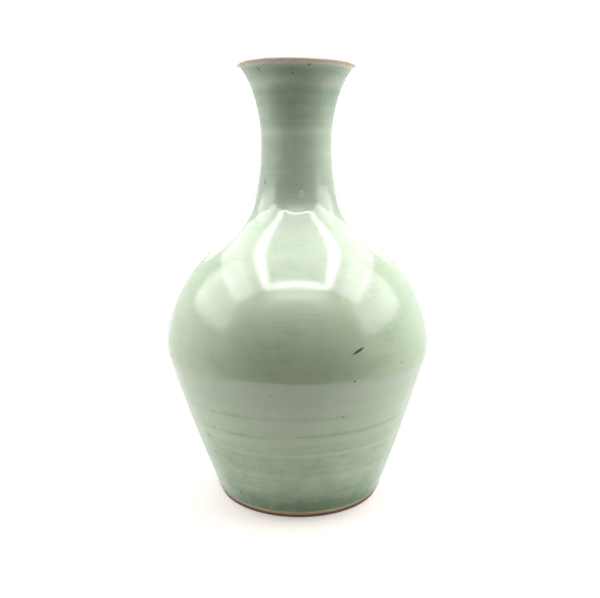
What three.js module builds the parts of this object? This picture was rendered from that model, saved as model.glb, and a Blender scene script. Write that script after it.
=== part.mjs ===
// Wheel-thrown stoneware bottle vase, in millimetres, standing on the XY plane with its axis along +Z.
// Three thrown clay sections are luted together with slip: a tapered lower body, a domed shoulder and a flared neck.
// Each joint is a V: a groove in the rim below takes a ridge on the section above, with the slip between them.
// A glaze coat covers the outside from the bare foot to the bare crown of the lip, and a liner covers the inside.

import * as THREE from 'three';

// Outside of the finished vase, from the foot up: the radius at each station and the rise to it from the one below
const FOOT_RADIUS = 50.6;
const BARE_FOOT_HEIGHT = 4.1;
const LOWER_BODY_RISE = 84.6;
const SEAM_RADIUS = 79;
const BELLY_RISE = 7;
const BELLY_RADIUS = 79.9;
const SHOULDER_RISE = 57.6;
const SHOULDER_RADIUS = 49.4;
const COLLAR_RISE = 23.7;
const COLLAR_RADIUS = 27;
const WAIST_RISE = 40.8;
const WAIST_RADIUS = 21.7;
const FLARE_RISE = 40.2;
const LIP_RADIUS = 34.7;

// Lean of the wall at each station, in degrees from upright, outward above zero
const UPRIGHT = 0;
const FOOT_LEAN = 17;
const SEAM_LEAN = 15.5;
const SHOULDER_LEAN = -49.6;
const COLLAR_LEAN = -28;
const LIP_LEAN = 46;

// Handles of the curve between two stations, lower then upper, as shares of the distance between them
const LOWER_WALL_HANDLES = [0.2, 0.68];
const BELLY_TURN_HANDLES = [0.34, 0.36];
const DOME_HANDLES = [0.19, 0.46];
const COLLAR_HANDLES = [0.56, 0.26];
const NECK_HANDLES = [0.33, 0.08];
const FLARE_HANDLES = [0.26, 0.29];

// Clay: wall thickness at each station, floor, foot ring and lip
const WALL_AT_FOOT = 8;
const WALL_AT_SEAM = 6;
const WALL_AT_SHOULDER = 5.5;
const WALL_AT_COLLAR = 5;
const WALL_AT_WAIST = 4.5;
const WALL_AT_LIP = 2.8;
const FLOOR_THICKNESS = 8;
const FLOOR_FILLET = 10;
const FOOT_RING_WIDTH = 8;
const FOOT_RECESS_DEPTH = 4;
const FOOT_RECESS_DRAFT = 2;
const FOOT_BEVEL = 0.5;
const LIP_CROWN = 2.2;

// Luting joints: the layer of slip and the depth of the V
const SLIP_THICKNESS = 0.6;
const JOINT_V_DEPTH = 2;

// Glaze: the coat outside, the liner inside, the thin end of both at the lip, and the roll above the bare foot
const GLAZE_COAT = 0.8;
const LINER_COAT = 0.6;
const GLAZE_AT_LIP = 0.3;
const GLAZE_ROLL_RISE = 2.4;
const GLAZE_ROLL_BULGE = 0.6;

// Facets round the axis, and steps along each curve of the profile
const TURN_STEPS = 40;
const LOWER_WALL_STEPS = 3;
const BELLY_TURN_STEPS = 2;
const DOME_STEPS = 5;
const COLLAR_STEPS = 6;
const NECK_STEPS = 4;
const FLARE_STEPS = 5;
const ROUND_STEPS = 3;

// Halvings in the search for the place on a curve at a height
const SEARCH_HALVINGS = 40;

// Direction up the wall at a lean, in the profile's plane: x is the radius and y the height
function wallHeading(lean) {
  const angle = THREE.MathUtils.degToRad(lean);
  return new THREE.Vector2(Math.sin(angle), Math.cos(angle));
}

// Direction from the outside into the wall at a lean
function wallInward(lean) {
  const heading = wallHeading(lean);
  return new THREE.Vector2(-heading.y, heading.x);
}

// Heights of the stations above the table
const glazeLineHeight = BARE_FOOT_HEIGHT;
const seamHeight = glazeLineHeight + LOWER_BODY_RISE;
const bellyHeight = seamHeight + BELLY_RISE;
const shoulderHeight = bellyHeight + SHOULDER_RISE;
const collarHeight = shoulderHeight + COLLAR_RISE;
const waistHeight = collarHeight + WAIST_RISE;
const lipHeight = waistHeight + FLARE_RISE;
const footSlope = Math.tan(THREE.MathUtils.degToRad(FOOT_LEAN));

// A station is a place on the outside of the vase, with the coats and the wall under it
const fullCoats = { coat: GLAZE_COAT, liner: LINER_COAT };
const foot = {
  ...fullCoats,
  radius: FOOT_RADIUS + BARE_FOOT_HEIGHT * footSlope,
  height: glazeLineHeight,
  lean: FOOT_LEAN,
  wall: WALL_AT_FOOT,
};
const seam = {
  ...fullCoats,
  radius: SEAM_RADIUS,
  height: seamHeight,
  lean: SEAM_LEAN,
  wall: WALL_AT_SEAM,
  slip: SLIP_THICKNESS,
};
const belly = {
  ...fullCoats,
  radius: BELLY_RADIUS,
  height: bellyHeight,
  lean: UPRIGHT,
  wall: WALL_AT_SEAM,
};
const shoulderBend = {
  ...fullCoats,
  radius: SHOULDER_RADIUS,
  height: shoulderHeight,
  lean: SHOULDER_LEAN,
  wall: WALL_AT_SHOULDER,
};
const collar = {
  ...fullCoats,
  radius: COLLAR_RADIUS,
  height: collarHeight,
  lean: COLLAR_LEAN,
  wall: WALL_AT_COLLAR,
  slip: SLIP_THICKNESS,
};
const waist = {
  ...fullCoats,
  radius: WAIST_RADIUS,
  height: waistHeight,
  lean: UPRIGHT,
  wall: WALL_AT_WAIST,
};
const lip = {
  coat: GLAZE_AT_LIP,
  liner: GLAZE_AT_LIP,
  radius: LIP_RADIUS,
  height: lipHeight,
  lean: LIP_LEAN,
  wall: WALL_AT_LIP,
  cutLevel: true,
};

// The curves of the wall, grouped by the section that they belong to
const lowerWall = { from: foot, to: seam, handles: LOWER_WALL_HANDLES, steps: LOWER_WALL_STEPS };
const shoulderWalls = [
  { from: seam, to: belly, handles: BELLY_TURN_HANDLES, steps: BELLY_TURN_STEPS },
  { from: belly, to: shoulderBend, handles: DOME_HANDLES, steps: DOME_STEPS },
  { from: shoulderBend, to: collar, handles: COLLAR_HANDLES, steps: COLLAR_STEPS },
];
const neckWalls = [
  { from: collar, to: waist, handles: NECK_HANDLES, steps: NECK_STEPS },
  { from: waist, to: lip, handles: FLARE_HANDLES, steps: FLARE_STEPS },
];

// The four surfaces of the wall, by their depth under the outside at a station
const glazeOutside = () => 0;
const clayOutside = (station) => station.coat;
const clayInside = (station) => station.coat + station.wall;
const linerInside = (station) => station.coat + station.wall + station.liner;

// Point of a surface at a station. The lip is cut level, and every other station square to the wall.
function pointAt(station, surface) {
  const point = new THREE.Vector2(station.radius, station.height);
  const depth = surface(station);
  if (station.cutLevel) {
    point.x -= depth / Math.cos(THREE.MathUtils.degToRad(station.lean));
    return point;
  }
  return point.addScaledVector(wallInward(station.lean), depth);
}

// Point of a surface where the section above a joint starts, on top of the slip
function pointAboveSlip(station, surface) {
  return pointAt(station, surface).addScaledVector(wallHeading(station.lean), station.slip);
}

function wallCurve(wall, surface) {
  const start = wall.from.slip ? pointAboveSlip(wall.from, surface) : pointAt(wall.from, surface);
  const end = pointAt(wall.to, surface);
  const reach = start.distanceTo(end);
  const startHandle = start.clone().addScaledVector(wallHeading(wall.from.lean), wall.handles[0] * reach);
  const endHandle = end.clone().addScaledVector(wallHeading(wall.to.lean), -wall.handles[1] * reach);
  return new THREE.CubicBezierCurve(start, startHandle, endHandle, end);
}

// Points of a surface up one section, without repeating the station between two curves
function sectionPoints(walls, surface) {
  return walls.flatMap((wall, index) => {
    const points = wallCurve(wall, surface).getPoints(wall.steps);
    return index === 0 ? points : points.slice(1);
  });
}

// Points of the stretch of a rising curve that lies above a height
function pointsAbove(curve, height, steps) {
  let below = 0;
  let above = 1;
  for (let halving = 0; halving < SEARCH_HALVINGS; halving += 1) {
    const middle = (below + above) / 2;
    if (curve.getPoint(middle).y < height) {
      below = middle;
    } else {
      above = middle;
    }
  }
  return Array.from({ length: steps + 1 }, (_, step) => curve.getPoint(above + ((1 - above) * step) / steps));
}

// Inside of the lower body on one surface: from the axis along the floor, round the fillet and up to the seam
function cupPoints(surface, floorHeight) {
  const wall = pointsAbove(wallCurve(lowerWall, surface), floorHeight + FLOOR_FILLET, LOWER_WALL_STEPS);
  const wallSlope = (wall[1].x - wall[0].x) / (wall[1].y - wall[0].y);
  const corner = new THREE.Vector2(wall[0].x - FLOOR_FILLET * wallSlope, floorHeight);
  const filletStart = new THREE.Vector2(corner.x - FLOOR_FILLET, floorHeight);
  const fillet = new THREE.QuadraticBezierCurve(filletStart, corner, wall[0]);
  return [new THREE.Vector2(0, floorHeight), ...fillet.getPoints(ROUND_STEPS), ...wall.slice(1)];
}

// Clay rim below a joint, from the outside to the inside: a V groove across the wall
function groovePoints(station) {
  const outer = pointAt(station, clayOutside);
  const inner = pointAt(station, clayInside);
  const middle = outer.clone().lerp(inner, 0.5).addScaledVector(wallHeading(station.lean), -JOINT_V_DEPTH);
  return [outer, middle, inner];
}

// Clay edge above a joint: the matching ridge, on top of the slip
function ridgePoints(station) {
  return groovePoints(station).map((point) => point.addScaledVector(wallHeading(station.lean), station.slip));
}

// The middle of a joint's edge, without the two ends that the wall's own points already give
function withoutEnds(points) {
  return points.slice(1, -1);
}

function reversed(points) {
  return [...points].reverse();
}

// Solid of revolution from a profile that closes on itself or starts and ends on the axis
function turned(name, profile, material) {
  const onAxis = profile[0].x === 0;
  const outline = onAxis ? profile : [...profile, profile[0].clone()];
  const mesh = new THREE.Mesh(new THREE.LatheGeometry(outline, TURN_STEPS), material);
  mesh.name = name;
  return mesh;
}

const clayFloorHeight = FOOT_RECESS_DEPTH + FLOOR_THICKNESS;

function lowerBody(material) {
  const outside = sectionPoints([lowerWall], clayOutside);
  const bareBase = outside[0].x - (outside[0].y - FOOT_BEVEL) * footSlope;
  const ringOuter = bareBase - FOOT_BEVEL;
  const ringInner = ringOuter - FOOT_RING_WIDTH;
  const footProfile = [
    new THREE.Vector2(0, FOOT_RECESS_DEPTH),
    new THREE.Vector2(ringInner - FOOT_RECESS_DRAFT, FOOT_RECESS_DEPTH),
    new THREE.Vector2(ringInner, 0),
    new THREE.Vector2(ringOuter, 0),
    new THREE.Vector2(bareBase, FOOT_BEVEL),
  ];
  const inside = reversed(cupPoints(clayInside, clayFloorHeight));
  return turned('lower_body', [...footProfile, ...outside, ...withoutEnds(groovePoints(seam)), ...inside], material);
}

function lutingSlip(name, station, material) {
  return turned(name, [...reversed(groovePoints(station)), ...ridgePoints(station)], material);
}

function shoulder(material) {
  const outside = sectionPoints(shoulderWalls, clayOutside);
  const inside = reversed(sectionPoints(shoulderWalls, clayInside));
  const upperRim = withoutEnds(groovePoints(collar));
  const lowerEdge = reversed(withoutEnds(ridgePoints(seam)));
  return turned('shoulder', [...outside, ...upperRim, ...inside, ...lowerEdge], material);
}

function neck(material) {
  const outside = sectionPoints(neckWalls, clayOutside);
  const inside = reversed(sectionPoints(neckWalls, clayInside));
  const outerLip = outside.at(-1);
  const innerLip = inside[0];
  const lipMiddle = outerLip.clone().lerp(innerLip, 0.5);
  const lipHalfWidth = (outerLip.x - innerLip.x) / 2;
  const crown = new THREE.EllipseCurve(lipMiddle.x, lipMiddle.y, lipHalfWidth, LIP_CROWN, 0, Math.PI);
  const crownPoints = withoutEnds(crown.getPoints(2 * ROUND_STEPS));
  const lowerEdge = reversed(withoutEnds(ridgePoints(collar)));
  return turned('neck', [...outside, ...crownPoints, ...inside, ...lowerEdge], material);
}

// All of the wall on one surface above the foot station
function wholeWallPoints(surface) {
  return [
    ...sectionPoints([lowerWall], surface),
    ...sectionPoints(shoulderWalls, surface),
    ...sectionPoints(neckWalls, surface),
  ];
}

// The coat lies on the clay and on the edges of the slip, and ends in a roll at the bare foot
function outerGlaze(material) {
  const onClay = wholeWallPoints(clayOutside);
  const outside = wholeWallPoints(glazeOutside);
  const rollBulge = outside[0].clone().addScaledVector(wallInward(FOOT_LEAN), -GLAZE_ROLL_BULGE);
  const rollTop = outside[0].clone().addScaledVector(wallHeading(FOOT_LEAN), GLAZE_ROLL_RISE);
  const roll = new THREE.QuadraticBezierCurve(onClay[0], rollBulge, rollTop).getPoints(ROUND_STEPS);
  return turned('outer_glaze', [...roll, ...outside.slice(1), ...reversed(onClay.slice(1))], material);
}

// The liner covers the floor and the inside of the wall, up to the crown of the lip
function innerGlaze(material) {
  const upperWalls = (surface) => [
    ...sectionPoints(shoulderWalls, surface),
    ...sectionPoints(neckWalls, surface),
  ];
  const onClay = [...cupPoints(clayInside, clayFloorHeight), ...upperWalls(clayInside)];
  const inside = [...cupPoints(linerInside, clayFloorHeight + LINER_COAT), ...upperWalls(linerInside)];
  return turned('inner_glaze', [...onClay, ...reversed(inside)], material);
}

const stoneware = new THREE.MeshStandardMaterial({ color: 0xa9825f, roughness: 0.9, metalness: 0 });
const firedSlip = new THREE.MeshStandardMaterial({ color: 0x9c7a5c, roughness: 0.95, metalness: 0 });
const greenGlaze = new THREE.MeshStandardMaterial({ color: 0x93a289, roughness: 0.12, metalness: 0 });
const linerGlaze = new THREE.MeshStandardMaterial({ color: 0x97a58c, roughness: 0.18, metalness: 0 });

const clay = new THREE.Group();
clay.add(lowerBody(stoneware));
clay.add(lutingSlip('belly_luting_slip', seam, firedSlip));
clay.add(shoulder(stoneware));
clay.add(lutingSlip('neck_luting_slip', collar, firedSlip));
clay.add(neck(stoneware));

const glaze = new THREE.Group();
glaze.add(outerGlaze(greenGlaze));
glaze.add(innerGlaze(linerGlaze));

// The profiles are turned about Y, and the vase stands along Z
const vase = new THREE.Group();
vase.name = 'vase';
vase.rotation.x = Math.PI / 2;
vase.add(clay, glaze);

export default vase;
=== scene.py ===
"""Dresses the solids of a thrown stoneware bottle vase.

Each piece is turned again from the section of its own solid, finer, and with the marks that the potter's
fingers, the turning tool and the kiln leave: throwing rings, tool lines, a lip that isn't quite level, glaze
that runs thin on edges and pools at the foot, and flecks of iron.
"""

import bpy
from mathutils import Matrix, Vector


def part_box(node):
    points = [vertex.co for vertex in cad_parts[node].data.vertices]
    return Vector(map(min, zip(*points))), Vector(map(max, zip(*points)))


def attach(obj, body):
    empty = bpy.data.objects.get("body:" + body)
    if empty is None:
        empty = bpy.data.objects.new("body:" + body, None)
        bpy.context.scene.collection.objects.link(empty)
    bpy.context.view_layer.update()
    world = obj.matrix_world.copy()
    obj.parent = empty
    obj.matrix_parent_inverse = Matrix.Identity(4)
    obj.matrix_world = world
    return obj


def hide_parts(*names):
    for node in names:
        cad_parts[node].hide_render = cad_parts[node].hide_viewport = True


bl_info = {
    "name": "Bottle Vase",
    "version": (1, 0, 0),
    "blender": (4, 5, 0),
    "location": "View3D > Sidebar > Vase",
    "description": "Dresses the solids of a thrown stoneware bottle vase in clay and glaze",
    "category": "Object",
}

import math
from typing import NamedTuple

import bpy
import numpy as np
from bpy.props import FloatProperty, FloatVectorProperty, IntProperty, PointerProperty
from mathutils import Vector

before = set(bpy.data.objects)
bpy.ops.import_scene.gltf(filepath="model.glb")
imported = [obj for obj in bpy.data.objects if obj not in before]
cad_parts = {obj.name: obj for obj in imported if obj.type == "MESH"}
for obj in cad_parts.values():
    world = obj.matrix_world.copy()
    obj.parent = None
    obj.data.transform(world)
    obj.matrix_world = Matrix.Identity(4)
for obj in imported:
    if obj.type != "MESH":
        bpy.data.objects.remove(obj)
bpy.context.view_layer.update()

MM = 0.001
FULL_TURN = 2 * math.pi
FRONT = -math.pi / 2  # azimuth from +X of the side that faces the camera

# Heights and radii that the solids give.
GLAZE_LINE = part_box("outer_glaze")[0].z
SEAM_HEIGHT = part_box("lower_body")[1].z
COLLAR_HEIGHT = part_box("shoulder")[1].z
LIP_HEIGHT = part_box("outer_glaze")[1].z
BELLY_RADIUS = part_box("outer_glaze")[1].x

# Heights at which the hand work changes.
CREASE_HEIGHT = 175.6 * MM  # of the crease that a rib left between neck and shoulder
NECK_START = COLLAR_HEIGHT + 15 * MM  # above it the wall is the neck's alone
LIP_EDGE = LIP_HEIGHT - 1 * MM  # above it the clay is bare and the wall smooth

# Mesh attributes that the finishes read.
HEIGHT_NAME = "thrown_height"
DEPTH_NAME = "glaze_depth"


class Station(NamedTuple):
    """A place on the outside of the true turned vase: radius and height in millimetres, how many degrees the
    wall leans outwards there, and the handles of the curves that arrive from below and leave upwards, as
    shares of the distance between two stations. The solids have points on the same curves, but only a few."""

    radius: float
    height: float
    lean: float
    arrive: float = 0
    leave: float = 0


STATIONS = (
    Station(radius=51.85, height=4.1, lean=17, leave=0.2),
    Station(radius=79, height=88.7, lean=15.5, arrive=0.68, leave=0.34),
    Station(radius=79.9, height=95.7, lean=0, arrive=0.36, leave=0.19),
    Station(radius=49.4, height=153.3, lean=-49.6, arrive=0.46, leave=0.56),
    Station(radius=27, height=177, lean=-28, arrive=0.26, leave=0.33),
    Station(radius=21.7, height=217.8, lean=0, arrive=0.08, leave=0.26),
    Station(radius=34.7, height=258, lean=46, arrive=0.29),
)
GLAZE_ROLL_RISE = 2.4 * MM  # height of the thick roll at the glaze's lower edge

# How an outline is read and drawn again.
ON_THE_PLANE = 1e-6
CORNER_TURN = math.radians(38)
STRAIGHT_RATIO = 2.5  # a chord this much longer than its neighbour is straight
LOOKS_PER_CHORD = 24
LOOKS_PER_STRETCH = 2000


# Settings that a user may change.


def metres(name, description, default):
    """A size in metres, shown to a hundredth of a millimetre."""
    return FloatProperty(name=name, description=description, default=default, precision=5, unit="LENGTH")


def degrees(name, description, default):
    """An angle whose default is given in degrees."""
    return FloatProperty(name=name, description=description, default=math.radians(default), subtype="ANGLE")


def tint(name, description, default):
    """A colour of the clay or the glaze."""
    return FloatVectorProperty(name=name, description=description, default=default, subtype="COLOR")


def light_level(name, part, default):
    """How bright a part of the light tent is."""
    return FloatProperty(name=name, description=f"Brightness of {part}, where 1 is white", default=default)


class VaseForm(bpy.types.PropertyGroup):
    """How the potter's hands and tools left the form."""

    segments: IntProperty(name="Segments", description="Steps round the vase", default=224, min=48)
    shown_step: metres("Shown step", "Spacing of the points along an outline that shows", 1.25 * MM)
    fine_step: metres(
        "Fine step", "Spacing of the points at tool lines, edges, the seam and the crease", 0.4 * MM
    )
    hidden_step: metres(
        "Hidden step", "Spacing of the points along an outline that another piece covers", 4 * MM
    )
    ring_pitch: metres("Ring pitch", "Rise of one throwing ring, about a finger's width", 4.6 * MM)
    ring_depth: metres("Ring depth", "Height of the throwing rings on the neck", 0.03 * MM)
    inner_ring_depth: metres(
        "Inner ring depth", "Height of the throwing rings inside, which nobody smoothed", 0.12 * MM
    )
    tool_line_depth: metres("Tool line depth", "Depth of the turning tool's lines", 0.09 * MM)
    seam_ridge: metres("Seam ridge", "How far the luted seam stands out", 0.1 * MM)
    collar_crease: metres("Collar crease", "Depth of the rib's crease under the neck", 0.1 * MM)
    collar_wave: metres("Collar wave", "Unevenness of the wall between neck and shoulder", 0.12 * MM)
    out_of_round: metres("Out of round", "How far the walls wander from a true circle", 0.18 * MM)
    lip_tilt: degrees("Lip tilt", "Slope of the lip, which is higher on the left", 0.5)
    lip_wear: FloatProperty(
        name="Lip wear", description="Share of the lip's crown wiped off", default=0.39, subtype="FACTOR"
    )
    neck_shift: metres("Neck shift", "How far the neck stands left of the axis", 0.5 * MM)
    foot_shift: metres("Foot shift", "How far the foot stands right of the axis", 1.1 * MM)


class VaseFinish(bpy.types.PropertyGroup):
    """Colours of the clay and the glaze."""

    glaze: tint("Glaze", "Green glaze at its usual thickness", (0.278, 0.36, 0.268))
    glaze_thin: tint(
        "Thin glaze", "Glaze stretched over a ridge, where the clay warms it", (0.326, 0.37, 0.302)
    )
    glaze_pooled: tint(
        "Pooled glaze", "Glaze that has run together, thick and deep in colour", (0.063, 0.127, 0.058)
    )
    glaze_cool: tint(
        "Cool glaze", "Glaze that has run together on the neck, where it fired bluer", (0.12, 0.187, 0.146)
    )
    glaze_dome: tint(
        "Shoulder glaze", "Usual glaze on the shoulder section, a little yellower", (0.281, 0.35, 0.24)
    )
    glaze_neck: tint("Neck glaze", "Usual glaze on the neck, a little greyer", (0.238, 0.29, 0.219))
    glaze_break: tint("Glaze break", "Glaze on the lip's edge, stretched thin and grey", (0.365, 0.37, 0.31))
    lip_clay: tint("Lip clay", "Clay that shows brown on the lip's crown", (0.122, 0.093, 0.069))
    liner: tint("Liner", "Glaze on the inside", (0.31, 0.37, 0.27))
    iron: tint("Iron", "Iron flecks in the glaze", (0.03, 0.025, 0.015))
    rust: tint("Rust", "Flecks that fired yellow", (0.5, 0.34, 0.12))
    blister: tint("Blister", "Pale spots where the glaze crawled back", (0.52, 0.47, 0.39))
    clay: tint("Clay", "Bare fired stoneware", (0.45, 0.31, 0.18))
    # Besides the kiln's real flashing, this dark colour paints the contact shade on the foot's lowest edge.
    flashed_clay_and_shade: tint("Flashed clay", "Bare stoneware that the kiln turned red brown", (0.06, 0.03, 0.018))
    slip: tint("Slip", "Fired slip in the joints", (0.34, 0.20, 0.11))


class VaseStage(bpy.types.PropertyGroup):
    """The camera and the light tent round the vase."""

    camera_distance: metres("Camera distance", "From the vase's axis to the lens", 439.3 * MM)
    camera_height: metres("Camera height", "Of the lens above the table", 204.5 * MM)
    camera_offset: metres("Camera offset", "Of the lens to the right of the vase's axis", 1.64 * MM)
    camera_pitch: degrees("Camera pitch", "How far the camera looks down", 10.86)
    lens: FloatProperty(
        name="Lens", description="Focal length on a sensor 36 mm wide", default=43.29, unit="CAMERA"
    )
    strip_light: light_level("Strip light", "the lamp strips under the tent's roof", 12.0)
    roof_light: light_level("Roof light", "the tent's roof", 4.55)
    wall_light: light_level("Wall light", "the tent's side walls", 1.5)
    panel_light: light_level("Panel light", "the soft panels beyond the side walls", 4.0)
    back_light: light_level("Back light", "the soft panel high on the back wall", 7.0)


# Outlines: the section of a solid, read from its mesh and drawn again with closer points.


def section_outline(node):
    """The section of a turned solid on one side of its axis, as (radius, height) points. They start at the
    lowest one and go outwards and up. The second value says whether they come back to the first."""
    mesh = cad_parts[node].data
    spots = {}
    for vertex in mesh.vertices:
        if abs(vertex.co.y) < ON_THE_PLANE and vertex.co.x > -ON_THE_PLANE:
            spots[vertex.index] = (vertex.co.x, vertex.co.z)
    neighbours = {}
    for edge in mesh.edges:
        first, second = (spots.get(index) for index in edge.vertices)
        if first and second and first != second:
            neighbours.setdefault(first, set()).add(second)
            neighbours.setdefault(second, set()).add(first)
    ends = [spot for spot in neighbours if len(neighbours[spot]) == 1]
    start = min(ends or neighbours, key=lambda spot: (spot[1], -spot[0]))
    path = [start]
    onward = min(neighbours[start], key=lambda spot: math.atan2(spot[1] - start[1], spot[0] - start[0]))
    while onward is not None and onward != start:
        before = path[-1]
        path.append(onward)
        onward = next((spot for spot in neighbours[path[-1]] if spot != before), None)
    return np.array(path), not ends


def headings_at(points, chord):
    """The direction of a smooth curve at each of the points that it goes through."""
    direction = np.diff(points, axis=0) / chord[:, None]
    before, after = chord[:-1, None], chord[1:, None]
    between = (direction[:-1] * after + direction[1:] * before) / (before + after)
    between = np.where(before > STRAIGHT_RATIO * after, direction[:-1], between)
    between = np.where(after > STRAIGHT_RATIO * before, direction[1:], between)
    if not len(between):
        return np.vstack([direction, direction])
    between = between / np.hypot(*between.T)[:, None]
    first = 2 * (between[0] @ direction[0]) * direction[0] - between[0]
    last = 2 * (between[-1] @ direction[-1]) * direction[-1] - between[-1]
    return np.vstack([first, between, last])


def curve_through(points):
    """Many points on a smooth curve through a few."""
    chord = np.hypot(*np.diff(points, axis=0).T)
    heading = headings_at(points, chord)
    share = np.linspace(0, 1, LOOKS_PER_CHORD, endpoint=False)[None, :, None]
    start, end = points[:-1, None], points[1:, None]
    leave, arrive = heading[:-1, None] * chord[:, None, None], heading[1:, None] * chord[:, None, None]
    rest = 1 - share
    curve = (
        rest**2 * (1 + 2 * share) * start
        + share**2 * (1 + 2 * rest) * end
        + share * rest**2 * leave
        - share**2 * rest * arrive
    )
    return np.vstack([curve.reshape(-1, 2), points[-1:]])


def drawn_again(points, closed, step_at):
    """An outline's points, spaced by step_at(height, rising), on curves that keep its sharp corners. The
    second value says of each point whether the outline rises there, and so faces away from the axis."""
    if closed:
        points = np.vstack([points, points[:1]])
    heading = np.arctan2(*np.diff(points, axis=0).T[::-1])
    turn = np.abs((np.diff(heading) + math.pi) % FULL_TURN - math.pi)
    corners = [0, *(np.flatnonzero(turn > CORNER_TURN) + 1), len(points) - 1]
    outline, rising = [], []
    for first, last in zip(corners, corners[1:]):
        curve = curve_through(points[first : last + 1])
        along = np.hypot(*np.diff(curve, axis=0).T)
        rises = np.gradient(curve[:, 1]) > 0
        middle = (curve[1:, 1] + curve[:-1, 1]) / 2
        count = np.concatenate([[0], np.cumsum(along / step_at(middle, rises[1:]))])
        wanted = np.linspace(0, count[-1], max(1, math.ceil(count[-1])) + 1)[:-1]
        outline.append(np.stack([np.interp(wanted, count, curve[:, axis]) for axis in (0, 1)], 1))
        rising.append(np.interp(wanted, count, rises) > 0.5)
    if not closed:
        outline.append(points[-1:])
        rising.append(np.array([False]))
    return np.vstack(outline), np.concatenate(rising)


def outer_curve():
    """Many (radius, height) points up the outside of the true turned vase."""
    share = np.linspace(0, 1, LOOKS_PER_STRETCH)[:, None]
    rest = 1 - share
    stretches = []
    for lower, upper in zip(STATIONS, STATIONS[1:]):
        start, end = np.array([lower.radius, lower.height]), np.array([upper.radius, upper.height])
        reach = math.dist(start, end)
        leaving, arriving = math.radians(lower.lean), math.radians(upper.lean)
        first = start + lower.leave * reach * np.array([math.sin(leaving), math.cos(leaving)])
        second = end - upper.arrive * reach * np.array([math.sin(arriving), math.cos(arriving)])
        curve = rest**3 * start + 3 * rest**2 * share * first
        curve = curve + 3 * rest * share**2 * second + share**3 * end
        stretches.append(curve)
    return np.vstack(stretches) * MM


def glaze_radius(height):
    """Radius of the outside at a height."""
    radius, level = outer_curve().T
    return np.interp(height, level, radius)


# Form: how the thrown clay differs from a true turned body.

LITTLE_DRIFT = 1.0  # metres for one turn


def swell(value, middle, width):
    """A smooth hump, 1 at the middle."""
    return np.exp(-(((value - middle) / width) ** 2))


def smooth_rise(value, low, high):
    """0 below low, 1 above high, and smooth between. Low may be the larger."""
    share = np.clip((value - low) / (high - low), 0, 1)
    return share * share * (3 - 2 * share)


def unevenness(azimuth, height, seed, lobes, drift=LITTLE_DRIFT):
    """Slow waves round and up the vase, between about -1 and 1. They turn once in a rise of drift."""
    draw = np.random.default_rng(seed)
    total = 0
    for lobe in range(1, lobes + 1):
        phase, lean = draw.uniform(0, FULL_TURN), draw.uniform(-1, 1)
        total = total + np.cos(lobe * azimuth + phase + lean * FULL_TURN * height / drift)
    return total / math.sqrt(2 * lobes)


def fading_aside(azimuth, turn, spread):
    """1 at a turn to the right of the front, and less within a spread to its sides. Both are in degrees."""
    aside = (azimuth - FRONT - math.radians(turn) + math.pi) % FULL_TURN - math.pi
    return swell(aside, 0, math.radians(spread))


class Band(NamedTuple):
    """A mark round the vase: its height at the front, its width and how much it climbs to the right, all in
    millimetres, and its depth as a share. It is deepest at a turn in degrees to the right of the front, and
    fades within a spread."""

    height: float
    width: float
    depth: float
    climb: float = 0
    turn: float = 0
    spread: float = 300


class Unsteadiness(NamedTuple):
    """How bands stray on their way round: how far their level waves, their usual share of the depth and how
    much that changes, and the lobes of the wave and the change, with the seeds of the first band."""

    wave: float
    wave_lobes: int
    wave_seed: int
    usual: float
    change: float
    change_lobes: int
    change_seed: int


# Lines that the turning tool left on the lower body. A depth below 0 makes a ridge.
TOOL_LINES = (
    Band(68.2, width=0.8, climb=1.5, depth=0.55, turn=-30, spread=45),
    Band(57.0, width=0.8, climb=2.2, depth=0.65, turn=-10, spread=75),
    Band(59.2, width=0.8, climb=2.2, depth=-0.9, turn=50, spread=35),
    Band(44.5, width=0.8, climb=0.6, depth=-1.1, turn=25, spread=50),
    Band(29.0, width=1.4, climb=-0.5, depth=-0.25),
    Band(76.5, width=1.2, climb=0.5, depth=-0.3),
)
TOOL_STRAY = Unsteadiness(
    wave=0.35 * MM, wave_lobes=7, wave_seed=30, usual=0.85, change=0.25, change_lobes=9, change_seed=40
)

# Levels where the glaze lies deep, or thin where the depth is below 0.
GLAZE_BANDS = (
    Band(253.4, width=2.4, depth=0.5),
    Band(246, width=9, depth=0.45, turn=52, spread=35),
    Band(247.2, width=2.6, depth=-0.5),
    Band(242.4, width=1.8, depth=0.32, climb=0.6),
    Band(236.8, width=1.8, depth=0.25, climb=-0.5),
    Band(236, width=11, depth=0.17),
    Band(220.6, width=2.6, depth=-0.5, climb=0.8),
    Band(208, width=4.5, depth=-0.2),
    Band(190, width=4, depth=0.2, climb=1.5),
    Band(181, width=5, depth=0.15),
    Band(85.2, width=2.8, depth=-0.6),
    Band(80, width=2, depth=-0.3, climb=1),
    Band(72.5, width=2.2, depth=-0.45, climb=1.5),
    Band(64.5, width=2.4, depth=-0.45, climb=1.8),
    Band(53.4, width=2, depth=-0.5, climb=2),
    Band(36, width=14, depth=0.2),
    Band(35, width=13, depth=0.08, turn=-30, spread=35),
    Band(10, width=14, depth=0.52),
    Band(18, width=7, depth=0.1, turn=-4, spread=32),
)
GLAZE_STRAY = Unsteadiness(
    wave=0.6 * MM, wave_lobes=5, wave_seed=50, usual=0.8, change=0.35, change_lobes=6, change_seed=70
)


def bands_at(height, azimuth, bands, stray):
    """The depths of all bands at places on the vase, added up."""
    total = 0
    for number, band in enumerate(bands):
        level = (band.height + band.climb * np.cos(azimuth)) * MM
        level = level + stray.wave * unevenness(azimuth, level, stray.wave_seed + number, stray.wave_lobes)
        change = unevenness(azimuth, level, stray.change_seed + number, stray.change_lobes)
        share = (stray.usual + stray.change * change) * fading_aside(azimuth, band.turn, band.spread)
        total = total + band.depth * share * swell(height, level, band.width * MM)
    return total


def tool_lines(height, azimuth):
    """The lines on the lower body, 1 at the bottom of a full one."""
    return bands_at(height, azimuth, TOOL_LINES, TOOL_STRAY)


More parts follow.
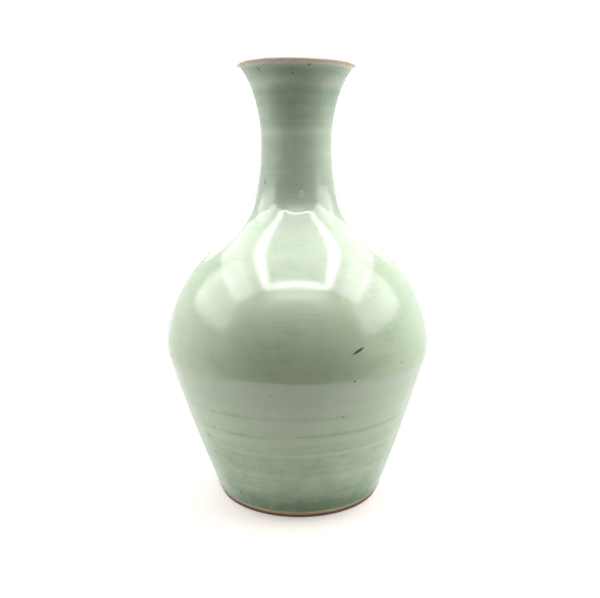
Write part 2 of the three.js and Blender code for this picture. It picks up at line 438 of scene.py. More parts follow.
def throwing_rings(height, azimuth, pitch):
    """The marks that the fingers left, between about -1 and 1: a spiral, and closer rings across it."""
    wander = 0.9 * unevenness(azimuth, height, seed=11, lobes=4, drift=60 * MM)
    strength = 0.75 + 0.4 * unevenness(azimuth, height, seed=12, lobes=3, drift=25 * MM)
    spiral = np.cos(FULL_TURN * height / pitch - azimuth + wander)
    closer_rings = np.cos(1.72 * FULL_TURN * height / pitch + 2 * wander)
    return strength * (0.7 * spiral + 0.45 * closer_rings)


def glaze_depth(height, azimuth):
    """How deep the glaze lies: 0 as usual, 1 where it pools at the foot, and -1 where it hardly covers the
    clay. The pool is highest and deepest in front."""
    in_front = fading_aside(azimuth, turn=-4, spread=30)
    pool_top = GLAZE_LINE + (7 + 12 * in_front) * MM
    pool_depth = 0.3 + 0.4 * in_front
    pool = pool_depth * smooth_rise(height, low=pool_top, high=GLAZE_LINE + 1 * MM)
    in_lines = 0.55 * tool_lines(height, azimuth)
    return in_lines + pool + bands_at(height, azimuth, GLAZE_BANDS, GLAZE_STRAY)


def outer_relief(height, azimuth, form):
    """How far the outside stands proud of a true turned body."""
    rings = throwing_rings(height, azimuth, form.ring_pitch)
    on_neck = smooth_rise(height, COLLAR_HEIGHT, NECK_START)
    below_seam = smooth_rise(height, low=SEAM_HEIGHT, high=SEAM_HEIGHT - 12 * MM)
    below_lip = smooth_rise(height, low=LIP_EDGE, high=LIP_HEIGHT - 9 * MM)
    ring_share = 0.22 + 0.78 * on_neck + 0.25 * below_seam
    relief = form.ring_depth * rings * ring_share * below_lip
    relief = relief - form.tool_line_depth * tool_lines(height, azimuth)
    seam_level = SEAM_HEIGHT + 0.8 * MM * unevenness(azimuth, height, seed=21, lobes=4)
    relief = relief + form.seam_ridge * swell(height, middle=seam_level, width=1.6 * MM)
    wave = unevenness(azimuth, height, seed=573, lobes=14)
    relief = relief - form.collar_wave * wave * swell(height, middle=COLLAR_HEIGHT + 3 * MM, width=7 * MM)
    crease_level = CREASE_HEIGHT + 0.6 * MM * wave
    return relief - form.collar_crease * swell(height, middle=crease_level, width=1.6 * MM)


def stand(radius, height, azimuth, form):
    """Places points of a true turned body on the thrown one, which is a little uneven and out of true."""
    wander = unevenness(azimuth, height, seed=5, lobes=4, drift=220 * MM)
    above_foot = smooth_rise(height, low=GLAZE_LINE, high=40 * MM)
    radius = radius + form.out_of_round * wander * above_foot * np.minimum(radius / BELLY_RADIUS, 1)
    x = radius * np.cos(azimuth)
    y = radius * np.sin(azimuth)
    at_lip = smooth_rise(height, NECK_START, LIP_HEIGHT)
    lip_wave = 0.12 * MM * np.cos(3 * azimuth + 0.6)
    z = height - form.lip_wear * np.maximum(height - LIP_HEIGHT, 0)
    z = z + at_lip * (lip_wave - math.tan(form.lip_tilt) * x)
    x = x - form.neck_shift * smooth_rise(height, SEAM_HEIGHT, NECK_START)
    x = x + form.foot_shift * smooth_rise(height, low=70 * MM, high=5 * MM)
    return x, y, z


# Pieces: outlines turned into meshes.


def add_object(name, data):
    """A new object in the scene."""
    made = bpy.data.objects.new(name, data)
    bpy.context.scene.collection.objects.link(made)
    return made


def turned_piece(node, step_at, material, relief_at=None):
    """Turns a node's outline into a fine mesh that stands for the node. relief_at(radius, height, azimuth,
    rising) gives how far a surface that shows stands out from its outline, and how deep its glaze lies."""
    form = bpy.context.scene.vase_form
    outline, closed = section_outline(node)
    outline, rising = drawn_again(outline, closed, step_at)
    rows, turns = len(outline), form.segments
    azimuth = np.linspace(0, FULL_TURN, turns, endpoint=False)[None, :] + np.zeros((rows, 1))
    radius, height = outline[:, :1] + 0 * azimuth, outline[:, 1:] + 0 * azimuth
    depth = 0 * azimuth
    if relief_at:
        relief, depth = relief_at(radius, height, azimuth, rising[:, None])
        radius = radius + relief
    places = np.stack(stand(radius, height, azimuth, form), -1)

    on_axis = outline[:, 0] < ON_THE_PLANE
    first_of_row = np.concatenate([[0], np.cumsum(np.where(on_axis, 1, turns))])
    index = first_of_row[:-1, None] + np.where(on_axis[:, None], 0, np.arange(turns))
    keep = np.where(on_axis[:, None], np.arange(turns) == 0, True)
    last = rows if closed else rows - 1
    faces = []
    for row in range(last):
        low, high = index[row], index[(row + 1) % rows]
        ring = zip(low, np.roll(low, -1), np.roll(high, -1), high)
        faces += [tuple(dict.fromkeys(map(int, corners))) for corners in ring]

    mesh = bpy.data.meshes.new(f"turned_{node}")
    mesh.from_pydata(places[keep].tolist(), [], faces)
    mesh.shade_smooth()
    mesh.set_sharp_from_angle(angle=CORNER_TURN)
    for name, values in ((HEIGHT_NAME, height), (DEPTH_NAME, depth)):
        layer = mesh.attributes.new(name, "FLOAT", "POINT")
        layer.data.foreach_set("value", values[keep].astype(np.float32))
    mesh.materials.append(material)
    piece = add_object(f"fired_{node}", mesh)
    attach(piece, "root")
    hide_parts(node)
    return piece


# Shader maths: wires between nodes, written as expressions.

NOISE_MIDDLE = 0.5


class Wire:
    """An output of a shader node. Arithmetic on wires adds Math nodes."""

    def __init__(self, finish, socket):
        self.finish = finish
        self.socket = socket

    def maths(self, operation, *values):
        return self.finish.node("Math", {"operation": operation}, dict(enumerate(values)))

    def __add__(self, other):
        return self.maths("ADD", self, other)

    def __radd__(self, other):
        return self.maths("ADD", other, self)

    def __sub__(self, other):
        return self.maths("SUBTRACT", self, other)

    def __rsub__(self, other):
        return self.maths("SUBTRACT", other, self)

    def __mul__(self, other):
        return self.maths("MULTIPLY", self, other)

    def __rmul__(self, other):
        return self.maths("MULTIPLY", other, self)

    def __truediv__(self, other):
        return self.maths("DIVIDE", self, other)

    def __pow__(self, other):
        return self.maths("POWER", self, other)

    def or_more(self, other):
        return self.maths("MAXIMUM", self, other)


class Finish:
    """A tree of shader nodes, built node by node."""

    def __init__(self, owner):
        owner.use_nodes = True
        self.owner = owner
        self.tree = owner.node_tree
        self.tree.nodes.clear()

    @staticmethod
    def find(sockets, key):
        """A socket by its number, or the one in use that has the name."""
        if isinstance(key, int):
            return sockets[key]
        return next(socket for socket in sockets if socket.name == key and socket.enabled)

    def node(self, kind, settings=None, sockets=None, output=0):
        """Adds a node, sets it up, fills its sockets with values or wires, and returns one output's wire."""
        made = self.tree.nodes.new(f"ShaderNode{kind}")
        for name, value in (settings or {}).items():
            setattr(made, name, value)
        for key, value in (sockets or {}).items():
            socket = self.find(made.inputs, key)
            if isinstance(value, Wire):
                self.tree.links.new(value.socket, socket)
            else:
                socket.default_value = value
        return Wire(self, self.find(made.outputs, output)) if made.outputs else None

    def place(self):
        """Where a point of the piece is, in metres."""
        return self.node("TexCoord", {}, {}, "Object")

    def reading(self, name):
        """A value that the mesh carries at its points."""
        return self.node("Attribute", {"attribute_name": name}, {}, "Fac")

    def ray(self, kind):
        """1 for rays of a kind, and 0 for others."""
        return self.node("LightPath", {}, {}, f"Is {kind} Ray")

    def mix(self, factor, first, second):
        """One colour going over into another as the factor goes from 0 to 1."""
        first, second = (c if isinstance(c, Wire) else (*c, 1) for c in (first, second))
        sockets = {"Factor": factor, "A": first, "B": second}
        return self.node("Mix", {"data_type": "RGBA", "clamp_factor": True}, sockets, "Result")

    def rise(self, value, low, high):
        """0 where the value is below low, 1 above high, and smooth between. Low may be the larger."""
        sockets = {"Value": value, "From Min": low, "From Max": high}
        return self.node("MapRange", {"interpolation_type": "SMOOTHSTEP"}, sockets)

    def vector(self, operation, first, second, output="Vector"):
        return self.node("VectorMath", {"operation": operation}, {0: first, 1: second}, output)

    def along(self, place, direction):
        """How far a place lies along a direction."""
        return self.vector("DOT_PRODUCT", place, direction, "Value")

    def noise(self, place, size, detail=2.0, stretch=(1, 1, 1)):
        """Cloudy noise from 0 to 1, with clouds of about this size, made longer by stretch."""
        scale = [1 / (size * times) for times in stretch]
        place = self.vector("MULTIPLY", place, scale)
        return self.node("TexNoise", {}, {"Vector": place, "Scale": 1.0, "Detail": detail})

    def spots(self, place, spacing, size):
        """Round spots, 1 in the middle, in cells about this far apart."""
        cells = {"Vector": place, "Scale": 1 / spacing}
        distance = self.node("TexVoronoi", {}, cells, "Distance")
        return self.rise(distance, size / spacing / 2, size / spacing / 4)

    def fleck(self, place, mark):
        """How much one oval fleck covers."""
        centre, along, across, out = mark.on_vase()
        offset = self.vector("SUBTRACT", place, centre)
        length = self.along(offset, along / (mark.length * MM / 2))
        width = self.along(offset, across / (mark.width * MM / 2))
        depth = self.along(offset, out / MARK_REACH)
        return self.rise(length * length + width * width + depth * depth, MARK_END, MARK_FULL) * mark.cover

    def flecks(self, place, marks):
        """How much any of the flecks covers."""
        masks = [self.fleck(place, mark) for mark in marks]
        total = masks[0]
        for mask in masks[1:]:
            total = total.or_more(mask)
        return total

    def end(self, shader, kind="Material"):
        """Joins a shader to the output, and returns what the tree belongs to."""
        self.node(f"Output{kind}", {}, {"Surface": shader})
        return self.owner

    def surface(self, colour, roughness, bump):
        """Ends in a shader of this colour and roughness over a bump in metres."""
        normal = self.node("Bump", {}, {"Distance": 1.0, "Height": bump}, "Normal")
        sockets = {"Base Color": colour, "Roughness": roughness, "Normal": normal}
        return self.end(self.node("BsdfPrincipled", {}, sockets))


def new_finish(name):
    """The tree of a fresh material."""
    return Finish(bpy.data.materials.new(name))


def sway(noise, amount):
    """Noise as a change up and down, by half the amount at most."""
    return (noise - NOISE_MIDDLE) * amount


# Marks in the glaze.

MARK_REACH = 8 * MM  # how far into the vase a mark goes
MARK_FULL, MARK_END = 0.4, 1.4  # squares of the distance from its middle, where 1 is half its size
RAGGED_SIZE = 0.8 * MM  # of the teeth at a mark's edge
RAGGED_REACH = (0.9 * MM,) * 3


class Mark(NamedTuple):
    """A fleck in the glaze: degrees to the right of the front, then height, length and width in millimetres,
    how many degrees its right end is turned up, and how much it covers."""

    turn: float
    height: float
    length: float
    width: float
    lean: float = 0
    cover: float = 0.4

    def on_vase(self):
        """Its centre, and the directions along it, across it and out of the vase."""
        azimuth = FRONT + math.radians(self.turn)
        radius = float(glaze_radius(self.height * MM))
        out = Vector((math.cos(azimuth), math.sin(azimuth), 0))
        centre = out * radius + Vector((0, 0, self.height * MM))
        level = Vector((-out.y, out.x, 0))
        lean = math.radians(self.lean)
        along = level * math.cos(lean) + Vector((0, 0, math.sin(lean)))
        across = Vector((0, 0, math.cos(lean))) - level * math.sin(lean)
        return centre, along, across, out


IRON_FLECKS = (
    Mark(24.4, 106.1, length=7.6, width=1.5, lean=24, cover=0.95),
    Mark(-42.5, 254.3, length=2.4, width=1.5, lean=-50, cover=0.7),
    Mark(12, 255.6, length=2.2, width=1.4, cover=0.55),
    Mark(-4.5, 251.6, length=1.5, width=1.1, cover=0.55),
    Mark(-23, 244.6, length=1.5, width=0.8),
    Mark(-53.7, 192.4, length=3.2, width=1.3, lean=85, cover=0.65),
    Mark(5.5, 188.4, length=0.8, width=0.7),
    Mark(46.6, 95, length=1.4, width=1.2, cover=0.6),
    Mark(22.6, 89.9, length=1.7, width=1.4, cover=0.6),
    Mark(-10.6, 82.6, length=1.0, width=1.4, cover=0.3),
    Mark(19.7, 68.6, length=1.8, width=1.4, cover=0.3),
    Mark(13.3, 68.5, length=1.0, width=0.8),
    Mark(-50.3, 48.8, length=3.0, width=1.3, lean=-60, cover=0.65),
    Mark(-42.5, 56.1, length=1.6, width=1.2),
    Mark(-8.2, 29, length=1.6, width=0.8, cover=0.25),
    Mark(-37.9, 12.6, length=1.8, width=1.5, cover=0.8),
    Mark(76.8, 153, length=1.6, width=1.0),
    Mark(38.8, 131.5, length=1.1, width=0.9),
    Mark(19, 167.1, length=1.2, width=0.9),
    Mark(-62.2, 115.9, length=1.8, width=0.8),
)
RUST_FLECKS = (
    Mark(20.7, 132, length=2.3, width=1.8, cover=0.7),
    Mark(33, 114.5, length=1.4, width=2.2, cover=0.55),
)
BLISTERS = (
    Mark(6.3, 185.6, length=3.4, width=4.8, cover=0.18),
    Mark(6.3, 187.6, length=1.8, width=1.2, cover=0.5),
    Mark(-8.8, 71.5, length=4.2, width=1.6, cover=0.3),
    Mark(13.7, 79.6, length=1.6, width=0.9),
)


# Finishes.


def green_glaze(look):
    """Glossy grey-green glaze: warm and pale on ridges, deep green where it pools, broken on the lip."""
    finish = new_finish("green_glaze")
    place = finish.place()
    height = finish.reading(HEIGHT_NAME)
    depth = finish.reading(DEPTH_NAME)

    clouds = finish.noise(place, size=26 * MM)
    mottle = finish.noise(place, size=5 * MM, detail=3.0, stretch=(1.8, 1.8, 1))
    runs = finish.noise(place, size=3.5 * MM, detail=1.0, stretch=(1, 1, 7))
    lines = finish.noise(place, size=1.5 * MM, stretch=(22, 22, 1))
    grain = finish.noise(place, size=0.8 * MM)
    for noise, amount in ((clouds, 0.45), (mottle, 0.45), (runs, 0.2), (lines, 0.35), (grain, 0.35)):
        depth = depth + sway(noise, amount)
    on_dome = finish.rise(height, SEAM_HEIGHT - 1.3 * MM, SEAM_HEIGHT + 0.7 * MM)
    on_neck = finish.rise(height, COLLAR_HEIGHT - 15 * MM, COLLAR_HEIGHT + 10 * MM)
    usual = finish.mix(on_dome, look.glaze, look.glaze_dome)
    usual = finish.mix(on_neck, usual, look.glaze_neck)
    pooled = finish.mix(on_neck, look.glaze_pooled, look.glaze_cool)
    thin = finish.rise(depth, 0.15, -0.85)
    deep = finish.rise(depth, -0.1, 1.1)
    colour = finish.mix(thin, usual, look.glaze_thin)
    colour = finish.mix(deep, colour, pooled)

    worn = finish.rise(height + sway(mottle, 2 * MM), LIP_HEIGHT - 2.8 * MM, LIP_HEIGHT - 0.8 * MM)
    colour = finish.mix(worn * 0.85, colour, look.glaze_break)
    edge = finish.rise(height + sway(mottle, 1 * MM), LIP_HEIGHT - 1.4 * MM, LIP_HEIGHT - 0.2 * MM)
    colour = finish.mix(edge * 0.55, colour, look.slip)

    ragged = finish.node("TexNoise", {}, {"Vector": place, "Scale": 1 / RAGGED_SIZE}, "Color")
    ragged = finish.vector("SUBTRACT", ragged, (NOISE_MIDDLE,) * 3)
    ragged = finish.vector("MULTIPLY", ragged, RAGGED_REACH)
    ragged = finish.vector("ADD", place, ragged)
    specks = finish.spots(ragged, spacing=19 * MM, size=0.8 * MM)
    iron = finish.flecks(ragged, IRON_FLECKS).or_more(specks * 0.45)
    rust = finish.flecks(ragged, RUST_FLECKS)
    blisters = finish.flecks(ragged, BLISTERS)
    colour = finish.mix(blisters, colour, look.blister)
    colour = finish.mix(rust, colour, look.rust)
    colour = finish.mix(iron, colour, look.iron)

    peel = finish.noise(place, size=2.6 * MM, detail=1.0)
    pinholes = finish.spots(place, spacing=3.4 * MM, size=0.5 * MM)
    bump = peel * (0.02 * MM) + grain * (0.006 * MM) - pinholes * (0.03 * MM)
    roughness = 0.11 + 0.06 * clouds + 0.3 * worn + 0.2 * blisters
    return finish.surface(colour, roughness, bump)


def liner_glaze(look):
    """The same glaze inside, where it lies thinner and in streaks."""
    finish = new_finish("liner_glaze")
    place = finish.place()
    height = finish.reading(HEIGHT_NAME)
    depth = finish.reading(DEPTH_NAME)
    clouds = finish.noise(place, size=20 * MM, detail=3.0)
    grain = finish.noise(place, size=0.9 * MM)
    peel = finish.noise(place, size=2.6 * MM, detail=1.0)
    thin = finish.rise(sway(clouds, 1.8) - depth, -0.6, 0.8)
    colour = finish.mix(thin, look.liner, look.glaze_thin)
    worn = finish.rise(height + sway(clouds, 2 * MM), LIP_HEIGHT - 2.4 * MM, LIP_EDGE)
    colour = finish.mix(worn, colour, look.glaze_break)
    bump = grain * (0.008 * MM) + peel * (0.03 * MM)
    roughness = 0.1 + 0.08 * clouds + 0.3 * worn
    return finish.surface(colour, roughness, bump)


def bare_stoneware(look):
    """Unglazed clay: tan with fine grog, dark brown at the very foot and higher at the sides, partly kiln
    flashing and partly painted contact shade, and grey going over into brown on the lip's crown."""
    finish = new_finish("bare_stoneware")
    place = finish.place()
    height = finish.reading(HEIGHT_NAME)
    clouds = finish.noise(place, size=14 * MM, detail=3.0)
    grain = finish.noise(place, size=0.5 * MM, detail=3.0)
    grog = finish.spots(place, spacing=1.9 * MM, size=0.8 * MM)
    crown = finish.rise(height, LIP_EDGE, LIP_HEIGHT)
    colour = finish.mix(crown, look.clay, look.glaze_break)
    top = finish.rise(height + sway(clouds, 0.8 * MM), LIP_HEIGHT - 0.5 * MM, LIP_HEIGHT + 0.3 * MM)
    colour = finish.mix(top, colour, look.lip_clay)
    aside = finish.along(place, (1, 0, 0))
    beside = finish.rise(aside * aside, (10 * MM) ** 2, (36 * MM) ** 2)
    # Real kiln flashing and painted contact shade together: the foot's lowest millimetres go dark brown,
    # higher at the left and right.
    flash_and_shade_level = height + sway(clouds, 1.2 * MM) - beside * (0.9 * MM)
    flash_and_contact_shade = finish.rise(flash_and_shade_level, 2.6 * MM, 1.5 * MM)
    colour = finish.mix(flash_and_contact_shade * 0.9 + sway(clouds, 0.3), colour, look.flashed_clay_and_shade)
    colour = finish.mix(grog * 0.2 + sway(grain, 0.2), colour, look.flashed_clay_and_shade)
    bump = grain * (0.05 * MM) + grog * (0.04 * MM)
    return finish.surface(colour, 0.62 + 0.2 * grain, bump)


def fired_slip(look):
    """Slip fired hard in a joint: finer and darker than the clay."""
    finish = new_finish("fired_slip")
    place = finish.place()
    clouds = finish.noise(place, size=6 * MM)
    grain = finish.noise(place, size=0.4 * MM)
    colour = finish.mix(clouds * 0.5, look.slip, look.flashed_clay_and_shade)
    return finish.surface(colour, 0.75 + 0.15 * grain, grain * (0.03 * MM))


# Operators: one for each group of pieces, and one for the stage.

# Heights on the outside that need closer points, and how far to each side.
FINE_PLACES = (
    (GLAZE_LINE, 4 * MM),
    (SEAM_HEIGHT, 4 * MM),
    (CREASE_HEIGHT, 5 * MM),
    (LIP_HEIGHT, 3 * MM),
    *((line.height * MM, (2.5 * line.width + abs(line.climb)) * MM) for line in TOOL_LINES),
)
BARE_FOOT_END = GLAZE_LINE + 2 * MM
INNER_PITCH_RATIO = 1.3  # of the rings inside to those outside


class VASE_OT_clay_sections(bpy.types.Operator):
    """Turn the three thrown clay sections: lower body, shoulder and neck"""

    bl_idname = "vase.clay_sections"
    bl_label = "Clay Sections"

    def execute(self, context):
        form = context.scene.vase_form
        material = bare_stoneware(context.scene.vase_finish)

        def step_at(height, rising):
            bare = (height < BARE_FOOT_END) | (height > LIP_EDGE)
            return np.where(bare, form.fine_step, form.hidden_step)

        for node in ("lower_body", "shoulder", "neck"):
            turned_piece(node, step_at, material)
        return {"FINISHED"}


class VASE_OT_luting_slip(bpy.types.Operator):
    """Turn the rings of slip in the belly joint and the neck joint"""

    bl_idname = "vase.luting_slip"
    bl_label = "Luting Slip"

    def execute(self, context):
        form = context.scene.vase_form
        material = fired_slip(context.scene.vase_finish)

        def step_at(height, rising):
            return form.shown_step + 0 * height

        for node in ("belly_luting_slip", "neck_luting_slip"):
            turned_piece(node, step_at, material)
        return {"FINISHED"}


class VASE_OT_outer_glaze(bpy.types.Operator):
    """Turn the green glaze coat, with the rings, tool lines and seam that show through it"""

    bl_idname = "vase.outer_glaze"
    bl_label = "Outer Glaze"

    def execute(self, context):
        form = context.scene.vase_form

        def step_at(height, rising):
            near = np.any([np.abs(height - level) < reach for level, reach in FINE_PLACES], axis=0)
            shown = np.where(near, form.fine_step, form.shown_step)
            return np.where(rising, shown, form.hidden_step)

        def relief_at(radius, height, azimuth, rising):
            relief = outer_relief(height, azimuth, form)
            above_roll = height > GLAZE_LINE + GLAZE_ROLL_RISE
            relief = relief + np.where(above_roll, glaze_radius(height) - radius, 0)
            return np.where(rising, relief, 0), glaze_depth(height, azimuth)

        material = green_glaze(context.scene.vase_finish)
        turned_piece("outer_glaze", step_at, material, relief_at)
        return {"FINISHED"}


class VASE_OT_inner_glaze(bpy.types.Operator):
    """Turn the liner glaze, with the throwing rings inside"""

    bl_idname = "vase.inner_glaze"
    bl_label = "Inner Glaze"

    def execute(self, context):
        form = context.scene.vase_form

        def step_at(height, rising):
            return np.where(rising, form.hidden_step, form.shown_step)

        def relief_at(radius, height, azimuth, rising):
            rings = throwing_rings(height, azimuth, form.ring_pitch * INNER_PITCH_RATIO)
            on_wall = smooth_rise(height, low=25 * MM, high=40 * MM)
            below_lip = smooth_rise(height, low=LIP_EDGE, high=LIP_HEIGHT - 12 * MM)
            relief = form.inner_ring_depth * rings * on_wall * below_lip
            return np.where(rising, 0, relief), -0.5 * rings

        material = liner_glaze(context.scene.vase_finish)
        turned_piece("inner_glaze", step_at, material, relief_at)
        return {"FINISHED"}


# Stage: a light tent with lamp strips under its roof, open and dark in front.

DOWN, TO_LEFT, TO_RIGHT, TO_FRONT = (0, 0, -1), (-1, 0, 0), (1, 0, 0), (0, -1, 0)
BLACK, WHITE = (0, 0, 0), (1, 1, 1)
SENSOR_WIDTH = 36  # millimetres
FLOOR_RADIUS = 3.0  # metres
FLOOR_CORNERS = 64

# The tent and the paper in it. Lengths are in millimetres.
ROOF_HEIGHT = 440
WALL_X = 400
PANEL_X = 800
PAPER_END_START, PAPER_END = -148, -172  # in front of the vase, where the gloss shows no more paper
REACH_START, REACH_END = 240, 360  # distances at which the lit paper goes over into the dark room
SHADOW_START, SHADOW_END = 80, 260  # distances at which the vase's shadow begins to fade and is gone
SHADOW_DEPTH = 0.65
PAPER_COLOUR = (0.9, 0.835, 0.79)
# The paper's glow near the vase, tinted warm: a painted warm cast in the vase's shadow.
PAINTED_WARM_GLOW = (1, 0.965, 0.935)

# The room in front of the tent. Lengths are in millimetres.
ROOM_Y = -1000
ROOM_HALF_WIDTH = 2000
ROOM_HEIGHT = 1900
DARK_ROOM = (0.1, 0.1, 0.1)
ROOM_TOP_LIGHT = (9.2, 9.0, 8.1)
ROOM_LIGHT_POWER = 2.2  # of the height, by which its light grows
ROOM_SIDE_LOSS = 0.5
ROOM_LOSS_START, ROOM_LOSS_END = 0.1, 0.55  # shares of the half width
ROOM_SIDES_START = 0.25

# A soft lamp's light, by the fourth power of the distance from its middle, which is 1 at its edge.
LAMP_MIDDLE = (0.5, 0.5, 0)
LAMP_FULL, LAMP_END = 0.05, 0.9
EDGE_IS_ONE = (16, 16, 0)


class Lamp(NamedTuple):
    """A flat lamp of the tent: its centre and size in millimetres, the way it faces, the setting that gives
    its brightness and its share of that. It may only light, or only show in the gloss, or have soft edges."""

    name: str
    centre: tuple
    facing: tuple
    size: tuple
    level: str
    share: float = 1
    lights: bool = True
    glints: bool = True
    soft: bool = False


SHEEN = {"lights": False, "soft": True}  # shows in the gloss alone, with soft edges
TENT = (
    Lamp("strip_front", (0, -194, ROOF_HEIGHT), DOWN, (350, 58), "strip_light", **SHEEN),
    Lamp("strip_edge", (0, -273, ROOF_HEIGHT + 1), DOWN, (310, 46), "strip_light", 0.2, **SHEEN),
    Lamp("strip_left", (-158, -8, ROOF_HEIGHT + 3), DOWN, (54, 440), "strip_light", **SHEEN),
    Lamp("strip_right", (158, -8, ROOF_HEIGHT + 3), DOWN, (54, 440), "strip_light", **SHEEN),
    Lamp("roof_front", (0, -103, ROOF_HEIGHT + 10), DOWN, (800, 206), "roof_light"),
    Lamp("roof_back", (0, 210, ROOF_HEIGHT + 10), DOWN, (800, 420), "roof_light", 0.72),
    Lamp("left_low", (-WALL_X, 108, 95), TO_RIGHT, (626, 190), "wall_light", 2.8, glints=False),
    Lamp("right_low", (WALL_X, 108, 95), TO_LEFT, (626, 190), "wall_light", 3.1, glints=False),
    Lamp("left_high", (-WALL_X, 108, 415), TO_RIGHT, (626, 450), "wall_light", 1.6, glints=False),
    Lamp("right_high", (WALL_X, 108, 415), TO_LEFT, (626, 450), "wall_light", 2.5, glints=False),
    Lamp("left_panel", (-PANEL_X, 30, 605), TO_RIGHT, (1040, 610), "panel_light", **SHEEN),
    Lamp("right_panel", (PANEL_X, -30, 605), TO_LEFT, (1060, 610), "panel_light", **SHEEN),
    Lamp("left_top", (-330, -50, ROOF_HEIGHT + 6), DOWN, (220, 400), "panel_light", 0.72, **SHEEN),
    Lamp("right_top", (330, -50, ROOF_HEIGHT + 6), DOWN, (220, 400), "panel_light", 0.72, **SHEEN),
    Lamp("back_panel", (0, 420, 410), TO_FRONT, (700, 460), "back_light", **SHEEN),
)


def add_lamp(lamp, brightness):
    """Adds a lamp that the camera doesn't see. A brightness of 1 is white."""
    width, height = (side * MM for side in lamp.size)
    light = bpy.data.lights.new(lamp.name, "AREA")
    light.shape = "RECTANGLE"
    light.size, light.size_y = width, height
    light.energy = brightness * math.pi * width * height
    if lamp.soft:
        finish = Finish(light)
        place = finish.node("NewGeometry", {}, {}, "Parametric")
        place = finish.vector("SUBTRACT", place, LAMP_MIDDLE)
        squared = finish.vector("MULTIPLY", place, place)
        fourth = finish.vector("MULTIPLY", squared, squared)
        edge = finish.along(fourth, EDGE_IS_ONE)
        colour = finish.mix(finish.rise(edge, LAMP_END, LAMP_FULL), BLACK, WHITE)
        shader = finish.node("Emission", {}, {"Color": colour})
        finish.end(shader, "Light")
    holder = add_object(lamp.name, light)
    holder.location = Vector(lamp.centre) * MM
    holder.rotation_euler = Vector(lamp.facing).to_track_quat("-Z", "Y").to_euler()
    holder.visible_camera = False
    holder.visible_diffuse = lamp.lights
    holder.visible_glossy = lamp.glints


def seen_directly(finish):
    """1 for rays that show the background itself: from the camera, in gloss and through glass."""
    return finish.ray("Camera").or_more(finish.ray("Glossy")).or_more(finish.ray("Transmission"))


def floor_finish():
    """Paper that keeps the vase's soft shadow, with a painted warm cast near the vase, and is white further
    out.
    In the gloss it ends in front of the vase, and the light that it throws back comes from near the vase
    alone."""
    finish = new_finish("white_floor")
    place = finish.place()
    distance = finish.vector("LENGTH", place, (0, 0, 0), "Value")
    far = finish.rise(distance, SHADOW_START * MM, SHADOW_END * MM)

    out_of_reach = finish.ray("Diffuse") * finish.rise(distance, REACH_START * MM, REACH_END * MM)
    paper = finish.node("BsdfDiffuse", {}, {"Color": (*PAPER_COLOUR, 1)})
    unlit = finish.node("BsdfDiffuse", {}, {"Color": (*DARK_ROOM, 1)})
    paper = finish.node("MixShader", {}, {0: out_of_reach, 1: paper, 2: unlit})

    gloss = finish.ray("Glossy")
    depth = finish.along(place, (0, 1, 0))
    beyond = gloss * finish.rise(depth, PAPER_END_START * MM, PAPER_END * MM)
    # Near the vase the glow takes the warm tint, painted warm light in the shadow. Further out it is white.
    colour = finish.mix(far, PAINTED_WARM_GLOW, WHITE)
    white = finish.node("Emission", {}, {"Color": finish.mix(beyond, colour, DARK_ROOM)})
    share = seen_directly(finish) * (1 - SHADOW_DEPTH * (1 - far))
    shader = finish.node("MixShader", {}, {0: share.or_more(gloss), 1: paper, 2: white})
    return finish.end(shader)


def white_floor():
    """The pale floor on which the vase stands."""
    azimuth = np.arange(FLOOR_CORNERS) * FULL_TURN / FLOOR_CORNERS
    rim = [(FLOOR_RADIUS * math.cos(turn), FLOOR_RADIUS * math.sin(turn), 0) for turn in azimuth]
    mesh = bpy.data.meshes.new("floor")
    mesh.from_pydata(rim, [], [tuple(range(FLOOR_CORNERS))])
    mesh.materials.append(floor_finish())
    floor = add_object("floor", mesh)


def room_finish(wide, high):
    """Dark below and lit above, less so far aside, but never dark at the sides."""
    finish = new_finish("dark_room")
    place = finish.place()
    aside = finish.along(place, (1, 0, 0))
    far_aside = finish.rise(aside * aside, (ROOM_LOSS_START * wide) ** 2, (ROOM_LOSS_END * wide) ** 2)
    beside = finish.rise(aside * aside, (ROOM_SIDES_START * wide) ** 2, wide**2)
    lit = (finish.along(place, (0, 0, 1)) / high) ** ROOM_LIGHT_POWER * (1 - ROOM_SIDE_LOSS * far_aside)
    from_above = finish.mix(lit, DARK_ROOM, ROOM_TOP_LIGHT)
    from_sides = finish.mix(beside, DARK_ROOM, WHITE)
    lighter = {"data_type": "RGBA", "blend_type": "LIGHTEN"}
    sockets = {"Factor": 1.0, "A": from_above, "B": from_sides}
    colour = finish.node("Mix", lighter, sockets, "Result")
    shader = finish.node("Emission", {}, {"Color": colour})
    return finish.end(shader)


def dark_front():
    """The room in front of the tent: a far card that shows only in the glaze."""
    wide, high = ROOM_HALF_WIDTH * MM, ROOM_HEIGHT * MM
    corners = ((-wide, 0), (wide, 0), (wide, high), (-wide, high))
    mesh = bpy.data.meshes.new("dark_front")
    mesh.from_pydata([(x, ROOM_Y * MM, z) for x, z in corners], [], [(0, 1, 2, 3)])
    mesh.materials.append(room_finish(wide, high))
    card = add_object("dark_front", mesh)
    for ray in ("camera", "diffuse", "transmission", "shadow", "volume_scatter"):
        setattr(card, f"visible_{ray}", False)


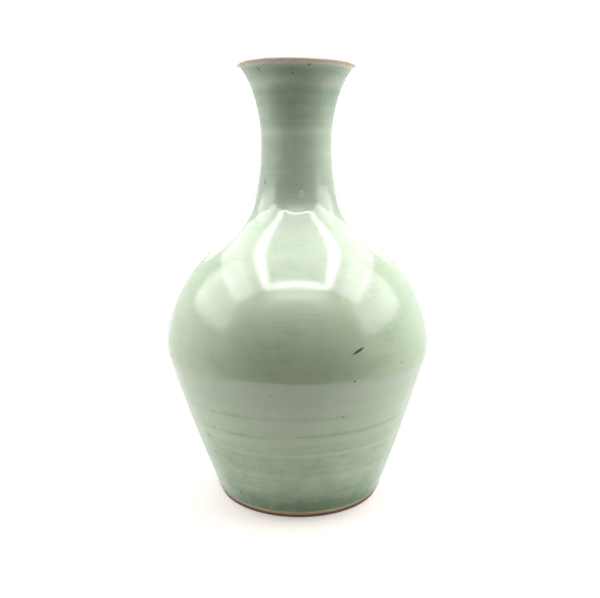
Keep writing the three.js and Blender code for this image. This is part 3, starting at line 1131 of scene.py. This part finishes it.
class VASE_OT_stage(bpy.types.Operator):
    """Set up the camera, the light tent and the floor"""

    bl_idname = "vase.stage"
    bl_label = "Stage"

    def execute(self, context):
        stage = context.scene.vase_stage
        self.camera(context, stage)
        for lamp in TENT:
            add_lamp(lamp, lamp.share * getattr(stage, lamp.level))
        self.room(context)
        white_floor()
        dark_front()
        context.scene.view_settings.view_transform = "Standard"
        return {"FINISHED"}

    def camera(self, context, stage):
        camera = bpy.data.cameras.new("camera")
        camera.sensor_width = SENSOR_WIDTH
        camera.lens = stage.lens
        holder = add_object("camera", camera)
        holder.location = (stage.camera_offset, -stage.camera_distance, stage.camera_height)
        holder.rotation_euler = (math.pi / 2 - stage.camera_pitch, 0, 0)
        context.scene.camera = holder

    def room(self, context):
        finish = Finish(bpy.data.worlds.new("room"))
        sockets = {"Color": (1, 1, 1, 1), "Strength": seen_directly(finish)}
        shader = finish.node("Background", {}, sockets)
        context.scene.world = finish.end(shader, "World")


class VASE_PT_sidebar(bpy.types.Panel):
    """The vase's settings and the steps that build it"""

    bl_label = "Bottle Vase"
    bl_space_type = "VIEW_3D"
    bl_region_type = "UI"
    bl_category = "Vase"

    def draw(self, context):
        scene = context.scene
        for group in (scene.vase_form, scene.vase_finish, scene.vase_stage):
            box = self.layout.box()
            for name in group.bl_rna.properties.keys():
                if name not in ("rna_type", "name"):
                    box.prop(group, name)
        for operator in OPERATORS:
            self.layout.operator(operator.bl_idname)


GROUPS = {"vase_form": VaseForm, "vase_finish": VaseFinish, "vase_stage": VaseStage}
OPERATORS = (
    VASE_OT_clay_sections,
    VASE_OT_luting_slip,
    VASE_OT_outer_glaze,
    VASE_OT_inner_glaze,
    VASE_OT_stage,
)


def register():
    for name, group in GROUPS.items():
        bpy.utils.register_class(group)
        setattr(bpy.types.Scene, name, PointerProperty(type=group))
    for operator in OPERATORS:
        bpy.utils.register_class(operator)
    bpy.utils.register_class(VASE_PT_sidebar)


def unregister():
    bpy.utils.unregister_class(VASE_PT_sidebar)
    for operator in reversed(OPERATORS):
        bpy.utils.unregister_class(operator)
    for name, group in reversed(GROUPS.items()):
        delattr(bpy.types.Scene, name)
        bpy.utils.unregister_class(group)


def main():
    register()
    bpy.ops.vase.clay_sections()
    bpy.ops.vase.luting_slip()
    bpy.ops.vase.outer_glaze()
    bpy.ops.vase.inner_glaze()
    bpy.ops.vase.stage()


if __name__ == "__main__":
    main()
